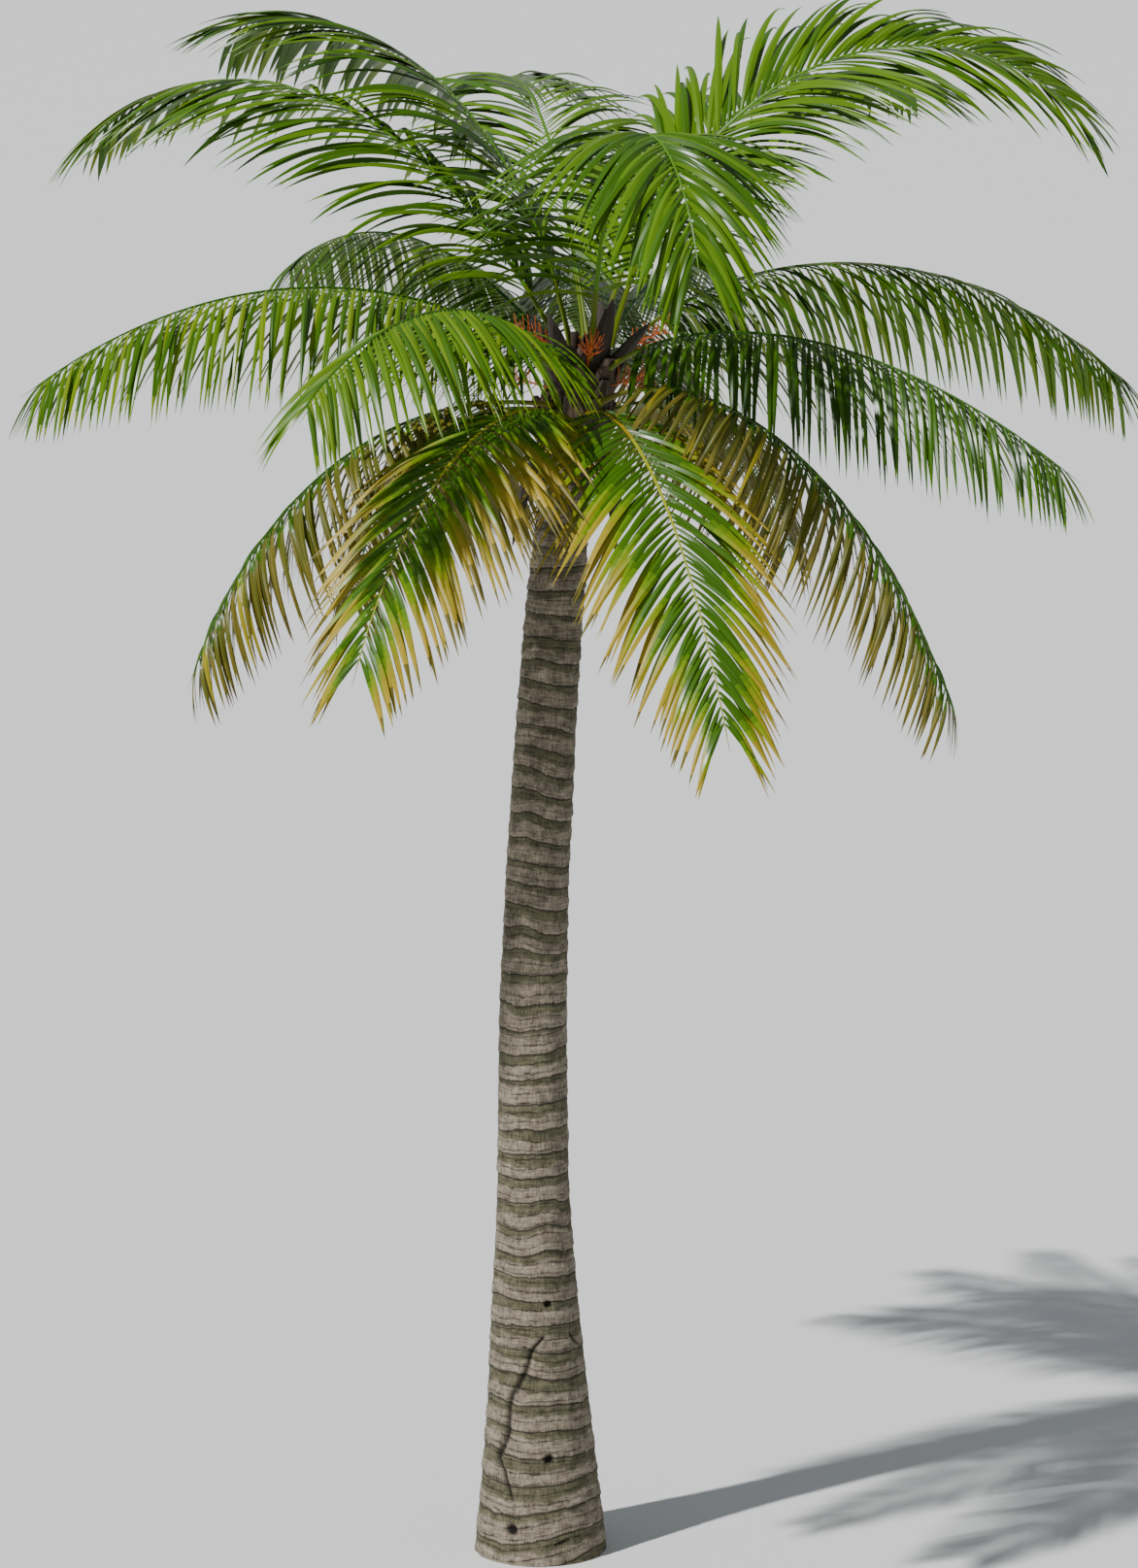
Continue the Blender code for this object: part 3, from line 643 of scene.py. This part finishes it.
def course_table(limb):
    """The course as arrays: points, forward, left and upward, by step."""
    return [np.array(column) for column in zip(*course_of(limb))]


def at_shares(table, shares):
    """Rows of a course's table at these shares, by straight lines between its steps."""
    steps = np.arange(COURSE_STEPS + 1) / COURSE_STEPS
    return [
        np.stack([np.interp(shares, steps, column[:, axis]) for axis in range(3)], axis=1)
        for column in table
    ]


def unit(vectors):
    return vectors / np.linalg.norm(vectors, axis=1, keepdims=True)


def rib_width(share):
    plain = RIB_TIP_WIDTH + (RIB_WIDTH - RIB_TIP_WIDTH) * (1 - share)
    return plain + SHEATH_WIDTH * np.exp(-share / SHEATH_LENGTH)


def leaflet_reach(share):
    """Short by the stalk, longest near the middle, and short again at the tip."""
    before = 1 - SHORTER_AT_STALK * ((LONGEST_AT - share) / LONGEST_AT) ** 2
    after = 1 - SHORTER_AT_TIP * ((share - LONGEST_AT) / (1 - LONGEST_AT)) ** 2
    return np.where(share < LONGEST_AT, before, after)


# Painted light: the undersides of the arching, spreading and full fronds get lighter greens than their upper
# sides. This is partly their own paler colour and partly painted light standing in for sun shining through
# the leaflets.
GREENS = {  # upper side, underside, shade of the tip, and where along a leaflet it begins
    YOUNG: ((BRIGHT, MID, BRIGHT), (MID, DEEP, MID), LIME, 1.0),
    OPENING: ((MID, BRIGHT, MID), (MID, DEEP, BRIGHT), BRIGHT, 0.9),
    ARCHING: ((MID, BRIGHT, DEEP), (BRIGHT, LIME, MID), LIME, 1.0),
    SPREADING: ((BRIGHT, MID, FRESH), (BRIGHT, LIME, BRIGHT), FRESH, 0.80),
    FULL: ((MID, DEEP, MID), (LIME, BRIGHT, BRIGHT), BRIGHT, 0.9),
    "frond_middle_left": ((BRIGHT, MID, LIME), (LIME, BRIGHT, OLIVE), LIME, 0.85),
}


def leaf_shade(age, name, under, along, share, chance):
    """Which shade a stretch of a leaflet has: along it, and along the rib, from 0 to 1."""
    if age in GREENS:
        over, below, tip, limit = GREENS.get(name, GREENS[age])
        shades = below if under else over
        return tip if along + 0.24 * (chance - 0.5) > limit else shades[int(chance * 9) % 3]
    if age is AGEING:
        turned = along + 0.34 * (chance - 0.5) + 0.30 * max(0.0, 0.40 - share)
        turned = turned + (0.16 if name == "frond_lower_front_left" else 0.05)
        limits = (0.40, 0.47, 0.51, 0.55, 0.59, 0.65, 0.73, 0.83, 0.99, 2.0)
        shades = (MID, BRIGHT, FRESH, LIME, TURNING, YELLOW_GREEN, OLIVE_YELLOW, STRAW, YELLOW, OCHRE)
        return next(shade for limit, shade in zip(limits, shades) if turned < limit)
    mixed = along + 0.20 * (chance * 7 % 1.0 - 0.5)
    limits = (0.10, 0.20, 0.30, 0.62, 0.90, 2.0)
    shades = (DEEP, MID, OLIVE, OCHRE if chance > 0.55 else OLIVE, OCHRE, BROWN)
    if chance > 0.92:
        shades = (MID, LIME, YELLOW_GREEN, OLIVE_YELLOW, OLIVE_YELLOW, OCHRE)
    return next(shade for limit, shade in zip(limits, shades) if mixed < limit)


def add_leaflets(age, limb, table, seed):
    """All leaflets of a frond in one mesh: thin roof-shaped blades with a sharp tip."""
    random = np.random.default_rng(seed)
    blade = BLADES[age]
    pitch = (1 - age.bare) / blade.pairs
    shares = np.repeat(age.bare + pitch * (np.arange(blade.pairs) + 0.5), 2)
    count = len(shares)
    shares = shares + random.uniform(-0.2, 0.2, count) * pitch
    hand = np.tile([1.0, -1.0], blade.pairs)[:, None]
    chance = random.uniform(0, 1, count)
    spot, forward, left, upward = at_shares(table, shares)
    sweep = SWEEP_AT_ROOT + (SWEEP_AT_TIP - SWEEP_AT_ROOT) * shares - age.forward * (1 - shares)
    sweep = np.radians(sweep + random.normal(0, 3.5, count))[:, None]
    lift = np.radians(age.lift + random.normal(0, 5.0, count))[:, None]
    bend = random.uniform(0.78, 1.22, count)[:, None]
    twist = np.radians(LEAFLET_TWIST + random.normal(0, 9.0, count))[:, None]
    length = (age.length * leaflet_reach(shares) * random.uniform(0.93, 1.03, count))[:, None]
    outward = left * hand * np.cos(lift) + upward * np.sin(lift)
    start = forward * np.cos(sweep) + outward * np.sin(sweep)
    pull = (np.array([0, 0, 1.0]) * age.sag + np.array(heading(limb.bearing, 0)) * age.curl) * bend
    spot = spot + left * hand * rib_width(shares)[:, None] * 0.35
    rings = []
    for step in range(LEAFLET_STEPS):
        along = step / LEAFLET_STEPS
        now = unit(start - pull * along)
        across = unit(forward - now * np.sum(forward * now, axis=1, keepdims=True))
        face = np.cross(across, now) * hand
        across, face = (
            across * np.cos(twist) - face * np.sin(twist),
            face * np.cos(twist) + across * np.sin(twist),
        )
        widening = math.sin(math.pi / 2 * min(1.0, along / WIDEST_AT))
        narrowing = 1 - max(0.0, (along - WIDEST_AT) / (1 - WIDEST_AT)) ** blade.fullness
        wide = blade.half_width * (LEAFLET_BASE + (1 - LEAFLET_BASE) * widening) * narrowing
        wide = wide * (0.72 + 0.28 * leaflet_reach(shares))[:, None]
        drop = face * wide * LEAFLET_FOLD
        thick = face * LEAFLET_THICKNESS * (1 - 0.6 * along)
        corners = [spot + across * wide - drop, spot + thick, spot - across * wide - drop, spot - thick]
        rings.append(np.stack(corners, axis=1))
        middle = unit(start - pull * (along + 0.5 / LEAFLET_STEPS))
        spot = spot + middle * length / LEAFLET_STEPS
    points = np.concatenate([np.stack(rings, axis=1).reshape(count, -1, 3), spot[:, None, :]], axis=1)
    faces = []
    shades = []
    size = 4 * LEAFLET_STEPS + 1
    for leaflet in range(count):
        first = leaflet * size
        faces.append([first + 3, first + 2, first + 1, first])
        shades.append(leaf_shade(age, limb.name, True, 0.0, shares[leaflet], chance[leaflet]))
        for step in range(LEAFLET_STEPS):
            low = first + 4 * step
            along = (step + 0.5) / LEAFLET_STEPS
            over = leaf_shade(age, limb.name, False, along, shares[leaflet], chance[leaflet])
            below = leaf_shade(age, limb.name, True, along, shares[leaflet], chance[leaflet])
            for i in range(4):
                j = (i + 1) % 4
                if step == LEAFLET_STEPS - 1:
                    faces.append([low + i, low + j, first + size - 1])
                else:
                    faces.append([low + i, low + j, low + 4 + j, low + 4 + i])
                shades.append(over if i < 2 else below)
    mesh = bpy.data.meshes.new(limb.name + "_leaflets")
    mesh.from_pydata(points.reshape(-1, 3).tolist(), [], faces)
    for surface in shade_surfaces:
        mesh.materials.append(surface)
    mesh.polygons.foreach_set("material_index", shades)
    mesh.polygons.foreach_set("use_smooth", [True] * len(faces))
    flip_inside_out(mesh)
    mesh.set_sharp_from_angle(angle=math.radians(40))
    piece = bpy.data.objects.new(limb.name + "_leaflets", mesh)
    bpy.context.scene.collection.objects.link(piece)
    return piece


def flip_inside_out(mesh):
    """Turn the faces of a mesh of closed bodies outwards."""
    work = bmesh.new()
    work.from_mesh(mesh)
    bmesh.ops.recalc_face_normals(work, faces=work.faces)
    work.to_mesh(mesh)
    work.free()


# The rib: round below with a shallow channel on top, widening to a clasping base. Its stalk is
# smooth and waxy, yellow green on young leaves and ochre on old ones.
RIB_STEPS = 70
RIB_SIDES = 12
RIB_DEPTH = 0.8
RIB_SLIMNESS = 0.74
YELLOW_RIB_SLIMNESS = 0.60
rib_surfaces = {
    "young stalk": new_surface("young stalk", "5A6C0C", 0.38, Specular_IOR_Level=0.2),
    "green rib": new_surface("green rib", "54811C", 0.36, Specular_IOR_Level=0.2),
    "deep green rib": new_surface("deep green rib", "36620F", 0.38, Specular_IOR_Level=0.2),
    "olive stalk": new_surface("olive stalk", "5C5A16", 0.48, Specular_IOR_Level=0.2),
    "ochre stalk": new_surface("ochre stalk", "98820E", 0.45, Specular_IOR_Level=0.2),
    "yellow rib": new_surface("yellow rib", "9A9E1C", 0.42, Specular_IOR_Level=0.2),
    "pale rib": new_surface("pale rib", "909C38", 0.55, Specular_IOR_Level=0.1),
}
RIB_ZONES = {  # up to which share of the rib each surface reaches
    YOUNG: ((0.14, "young stalk"), (1.1, "green rib")),
    OPENING: ((0.12, "young stalk"), (1.1, "green rib")),
    ARCHING: ((0.12, "young stalk"), (1.1, "green rib")),
    FULL: ((0.12, "young stalk"), (1.1, "deep green rib")),
    SPREADING: ((0.12, "young stalk"), (1.1, "deep green rib")),
    AGEING: ((0.05, "olive stalk"), (0.34, "ochre stalk"), (0.62, "yellow rib"), (1.1, "pale rib")),
    OLD: ((0.12, "olive stalk"), (0.34, "young stalk"), (1.1, "deep green rib")),
}


def add_rib(age, limb, table):
    """The rib of a frond, from inside the heart to its bare point."""
    shares = np.linspace(0, 1, RIB_STEPS)
    spot, forward, left, upward = at_shares(table, shares)
    width = rib_width(shares)[:, None] * (YELLOW_RIB_SLIMNESS if age is AGEING else RIB_SLIMNESS)
    rings = []
    for i in range(RIB_SIDES):
        around = 2 * math.pi * i / RIB_SIDES
        side = math.cos(around)
        rise = math.sin(around)
        rise = rise * 0.30 if rise > 0 else rise * 0.62
        if abs(side) < 0.3 and rise > 0:
            rise = 0.10
        rings.append(spot + left * width * side * 0.5 + upward * width * RIB_DEPTH * rise)
    points = np.stack(rings, axis=1).reshape(-1, 3).tolist()
    points.append((spot[-1] + forward[-1] * END_LENGTH).tolist())
    faces = [list(range(RIB_SIDES))]
    zones = [0]
    names = list(dict.fromkeys(name for _, name in RIB_ZONES[age]))
    for step in range(RIB_STEPS):
        zone = next(names.index(name) for reach, name in RIB_ZONES[age] if shares[step] < reach)
        low = step * RIB_SIDES
        for i in range(RIB_SIDES):
            j = (i + 1) % RIB_SIDES
            if step == RIB_STEPS - 1:
                faces.append([low + i, low + j, len(points) - 1])
            else:
                faces.append([low + i, low + j, low + RIB_SIDES + j, low + RIB_SIDES + i])
            zones.append(zone)
    mesh = bpy.data.meshes.new(limb.name + "_rib")
    mesh.from_pydata(points, [], faces)
    for name in names:
        mesh.materials.append(rib_surfaces[name])
    mesh.polygons.foreach_set("material_index", zones)
    mesh.polygons.foreach_set("use_smooth", [True] * len(faces))
    flip_inside_out(mesh)
    mesh.set_sharp_from_angle(angle=math.radians(50))
    piece = bpy.data.objects.new(limb.name + "_rib", mesh)
    bpy.context.scene.collection.objects.link(piece)
    return piece


SLOTS = {
    YOUNG: "young_leaf", OPENING: "young_leaf", ARCHING: "young_leaf", FULL: "full_leaf",
    SPREADING: "full_leaf", AGEING: "yellowing_leaf", OLD: "old_leaf",
}
for seed, (age, limb) in enumerate(FRONDS):
    table = course_table(limb)
    settle(add_leaflets(age, limb, table, 100 + seed), None, SLOTS[age], limb.name)
    settle(add_rib(age, limb, table), None, SLOTS[age], limb.name)

# Spathes. Each flower cluster grew inside a woody husk, which splits and dries to a dark grey
# brown boat with grooves along it. Some still stand between the stalks, three hang down.
SPATHE_RADIUS = 0.040
SPATHE_SIDES = 36
SPATHE_STEPS = 30
SPATHES = (
    Limb("spathe_front_left", 5.98, -133, 62, 0, 1.0, 0, 0.34, 0),
    Limb("spathe_front", 6.00, -56, 74, 10, 1.0, 0, 0.38, 0),
    Limb("spathe_right", 5.99, -22, 50, 10, 1.0, 0, 0.34, 0),
    Limb("spathe_left", 6.00, -178, 60, 10, 1.0, 0, 0.34, 0),
    Limb("spathe_back", 6.02, 74, 60, 0, 1.0, 0, 0.34, 0),
    Limb("dry_spathe_left", 5.70, -172, -40, 44, 0.4, 0, 0.62, 0),
    Limb("dry_spathe_right", 5.71, -12, -44, 50, 0.4, 0, 0.66, 0),
    Limb("dry_spathe_front_right", 5.69, -36, -22, 66, 0.5, 0, 0.48, 0),
)

# Dry husk: woody and matt, with dark grooves along it about 8 mm apart
husk = new_surface("dry husk", "3A3230", 0.82)
shader = husk.node_tree.nodes["Principled BSDF"]
place = add_node(husk, "TexCoord", {}, {}).outputs["Object"]
upright = add_node(husk, "Mapping", {"Scale": (1.0, 1.0, 0.1)}, {"Vector": place}).outputs[0]
grain = add_node(husk, "TexNoise", {"Scale": 120.0, "Detail": 3.0}, {"Vector": upright}).outputs[0]
colour = add_node(
    husk, "Mix", {"data_type": "RGBA", 6: (*linear("1D1915"), 1), 7: (*linear("473E33"), 1)}, {0: grain}
).outputs[2]
husk.node_tree.links.new(colour, shader.inputs["Base Color"])
bump = add_node(husk, "Bump", {"Strength": 0.6, "Distance": 0.003}, {"Height": grain}).outputs[0]
husk.node_tree.links.new(bump, shader.inputs["Normal"])

for limb in SPATHES:
    bpy.ops.object.select_all(action="DESELECT")
    bpy.ops.mesh.primitive_cylinder_add(vertices=SPATHE_SIDES, radius=1, depth=1, location=(0, 0, 0.5))
    spathe = bpy.context.object
    spathe.name = limb.name + "_husk"
    bpy.ops.object.transform_apply(location=True, rotation=True, scale=True)
    bpy.ops.object.mode_set(mode="EDIT")
    bpy.ops.mesh.select_all(action="DESELECT")
    edit = bmesh.from_edit_mesh(spathe.data)
    for edge in edit.edges:
        edge.select = abs(edge.verts[0].co.z - edge.verts[1].co.z) > 0.5
    bpy.ops.mesh.select_mode(type="EDGE")
    bpy.ops.mesh.subdivide(number_cuts=SPATHE_STEPS)
    bpy.ops.object.mode_set(mode="OBJECT")
    table = course_table(limb)
    count = len(spathe.data.vertices)
    places = np.empty(count * 3)
    spathe.data.vertices.foreach_get("co", places)
    places = places.reshape(-1, 3)
    share = places[:, 2]
    around = np.arctan2(places[:, 1], places[:, 0])
    spot, forward, left, upward = at_shares(table, 0.1 + 0.9 * share)
    swell = np.sin(np.pi * np.clip(0.22 + 0.78 * share, 0, 1)) ** 0.8 + 0.02
    grooves = 1 + 0.07 * np.cos(9 * around + 4 * share)
    hollow = np.where(np.sin(around) > 0, 0.35, 1.0)
    wide = (SPATHE_RADIUS * swell * grooves)[:, None]
    side = np.cos(around)[:, None]
    rise = (np.sin(around) * hollow)[:, None]
    places = spot + left * wide * side * 1.15 + upward * wide * rise
    spathe.data.vertices.foreach_set("co", places.ravel())
    spathe.data.update()
    select_only(spathe)
    bpy.ops.object.shade_smooth_by_angle(angle=math.radians(60))
    settle(spathe, husk, "husk", limb.name)

# Flower spikes. A fleshy orange stalk carries thin branches all round it, each set with small
# buds. They stand out between the leaf stalks, still fresh.
STALK_WIDTH = 0.011
BRANCH_LENGTH = 0.135
BRANCH_STEPS = 8
BRANCH_COUNT = 25
BRANCH_WIDTH = 0.0028
SPIKES = (
    Limb("flower_spike_left", 6.03, -163, 48, 30, 1.0, 0, 0.32, 0),
    Limb("flower_spike_centre", 5.99, -84, 58, 40, 1.0, 0, 0.24, 0),
    Limb("flower_spike_right", 6.02, -5, 40, 20, 1.0, 0, 0.34, 0),
    Limb("flower_spike_low_right", 5.90, -26, 18, 10, 1.0, 0, 0.26, 0),
    Limb("flower_spike_low_left", 5.88, -166, 22, 10, 1.0, 0, 0.30, 0),
)

# Fresh flower stalks: smooth and fleshy, rust orange, a little darker in patches
blossom = new_surface("flower stalk", "B4521E", 0.55)
shader = blossom.node_tree.nodes["Principled BSDF"]
place = add_node(blossom, "TexCoord", {}, {}).outputs["Object"]
patches = add_node(blossom, "TexNoise", {"Scale": 30.0, "Detail": 2.0}, {"Vector": place}).outputs[0]
colour = add_node(
    blossom, "Mix", {"data_type": "RGBA", 6: (*linear("96400C"), 1), 7: (*linear("D8661A"), 1)}, {0: patches}
).outputs[2]
blossom.node_tree.links.new(colour, shader.inputs["Base Color"])


def add_rod(points, faces, spine, widths):
    """Add a six-sided rod along a spine to a mesh's points and faces."""
    first = len(points)
    for i, (spot, wide) in enumerate(zip(spine, widths)):
        way = (spine[min(i + 1, len(spine) - 1)] - spine[max(i - 1, 0)]).normalized()
        side = way.cross(Vector((0.3, 0.2, 1))).normalized()
        other = way.cross(side)
        for corner in range(6):
            a = math.pi * corner / 3
            points.append(spot + side * wide * math.cos(a) + other * wide * math.sin(a))
    faces.append([first + i for i in range(6)])
    for row in range(len(spine) - 1):
        low = first + 6 * row
        faces += [[low + i, low + (i + 1) % 6, low + 6 + (i + 1) % 6, low + 6 + i] for i in range(6)]
    faces.append([len(points) - 6 + i for i in range(6)])


random = np.random.default_rng(23)
for limb in SPIKES:
    course = course_of(limb)
    points = []
    faces = []
    spine = [course[i][0] for i in range(0, COURSE_STEPS + 1, 8)]
    add_rod(points, faces, spine, [STALK_WIDTH / 2 * (1 - 0.5 * i / len(spine)) for i in range(len(spine))])
    for branch in range(BRANCH_COUNT):
        share = 0.38 + 0.62 * branch / BRANCH_COUNT
        spot, forward, left, upward = course[int(share * COURSE_STEPS)]
        around = branch * GOLDEN_TURN
        outward = left * math.cos(around) + upward * math.sin(around)
        sweep = math.radians(random.uniform(48, 66))
        way = forward * math.cos(sweep) + outward * math.sin(sweep)
        length = BRANCH_LENGTH * random.uniform(0.55, 1.05) * (1 - 0.3 * share)
        spine = [spot + way * 0.002]
        for step in range(BRANCH_STEPS):
            way = (way + Vector((0, 0, 0.12))).normalized()
            spine.append(spine[-1] + way * length / BRANCH_STEPS)
        add_rod(points, faces, spine, [BRANCH_WIDTH * (1.0 if i % 2 else 0.72) for i in range(len(spine))])
    mesh = bpy.data.meshes.new(limb.name + "_branches")
    mesh.from_pydata(points, [], faces)
    flip_inside_out(mesh)
    mesh.polygons.foreach_set("use_smooth", [True] * len(faces))
    mesh.set_sharp_from_angle(angle=math.radians(60))
    spike = bpy.data.objects.new(limb.name + "_branches", mesh)
    bpy.context.scene.collection.objects.link(spike)
    settle(spike, blossom, "blossom", limb.name)

# Floor: a wide, pale, matt sheet
FLOOR_SIZE = 40000.0
bpy.ops.object.select_all(action="DESELECT")
bpy.ops.mesh.primitive_plane_add(size=FLOOR_SIZE, location=(0, 0, -0.001))
floor = bpy.context.object
floor.name = "floor"
floor.data.materials.append(new_surface("pale floor", "E4E4E2", 0.95))

# Light: a high key light from the upper front left, and a pale sky
SUN_WAY = Vector((0.48, 0.38, -0.79))
SUN_STRENGTH = 4.4
SUN_SPREAD = math.radians(1.2)
SKY_STRENGTH = 0.32
sun_data = bpy.data.lights.new("key light", "SUN")
sun_data.energy = SUN_STRENGTH
sun_data.angle = SUN_SPREAD
sun = bpy.data.objects.new("key light", sun_data)
sun.rotation_euler = SUN_WAY.to_track_quat("-Z", "Y").to_euler()
bpy.context.scene.collection.objects.link(sun)
world = bpy.data.worlds.new("pale sky")
world.use_nodes = True
world.node_tree.nodes["Background"].inputs["Color"].default_value = (*linear("E8EFFA"), 1.0)
world.node_tree.nodes["Background"].inputs["Strength"].default_value = SKY_STRENGTH
bpy.context.scene.world = world

# Camera: a long lens, a little higher than the top of the crown, looking slightly down
LENS = 120.0
CAMERA_PLACE = (0.143, -25.6, 8.17)
CAMERA_PITCH = 9.4
camera_data = bpy.data.cameras.new("camera")
camera_data.lens = LENS
camera_data.sensor_width = 36.0
camera_data.clip_end = 40000.0
camera = bpy.data.objects.new("camera", camera_data)
camera.location = CAMERA_PLACE
camera.rotation_euler = (math.radians(90 - CAMERA_PITCH), 0, 0)
bpy.context.scene.collection.objects.link(camera)
bpy.context.scene.camera = camera
